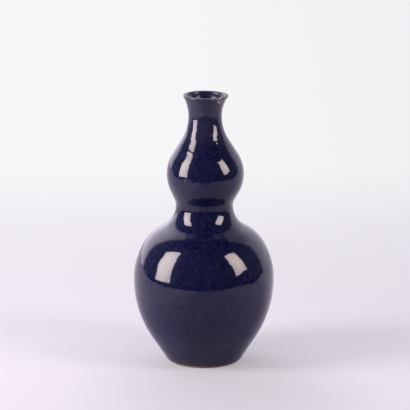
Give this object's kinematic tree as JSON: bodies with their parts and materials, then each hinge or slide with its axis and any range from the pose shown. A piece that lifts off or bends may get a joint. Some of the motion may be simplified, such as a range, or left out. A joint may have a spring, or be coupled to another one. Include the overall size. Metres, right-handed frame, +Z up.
{
  "type": "double gourd vase",
  "caption": "Slender ceramic vase in the shape of a double gourd, with a round belly, a smaller upper bulb, a flared neck and a turned foot, in deep blue glaze.",
  "frame": {"origin": "middle of the foot, on the surface that the vase stands on", "axes": "+Z up along the vase's axis; X and Y lie level, and any direction is like any other round the axis"},
  "size_m": [0.109, 0.109, 0.21],
  "materials": {
    "fired_clay": "bare fired stoneware, pale buff that turned brown at the foot",
    "luting_slip": "fired slip of the same clay",
    "cobalt_glaze": "glossy deep cobalt glaze, finely mottled",
    "inside_glaze": "the same glaze, poured in and out",
    "base_glaze": "thin glaze under the foot"
  },
  "bodies": {
    "root": {"base_section": "fired_clay", "shoulder_section": "fired_clay", "bulb_section": "fired_clay", "neck_section": "fired_clay", "belly_slip": "luting_slip", "waist_slip": "luting_slip", "neck_slip": "luting_slip", "outer_glaze": "cobalt_glaze", "inner_glaze": "inside_glaze", "base_glaze": "base_glaze"}
  },
  "joints": []
}
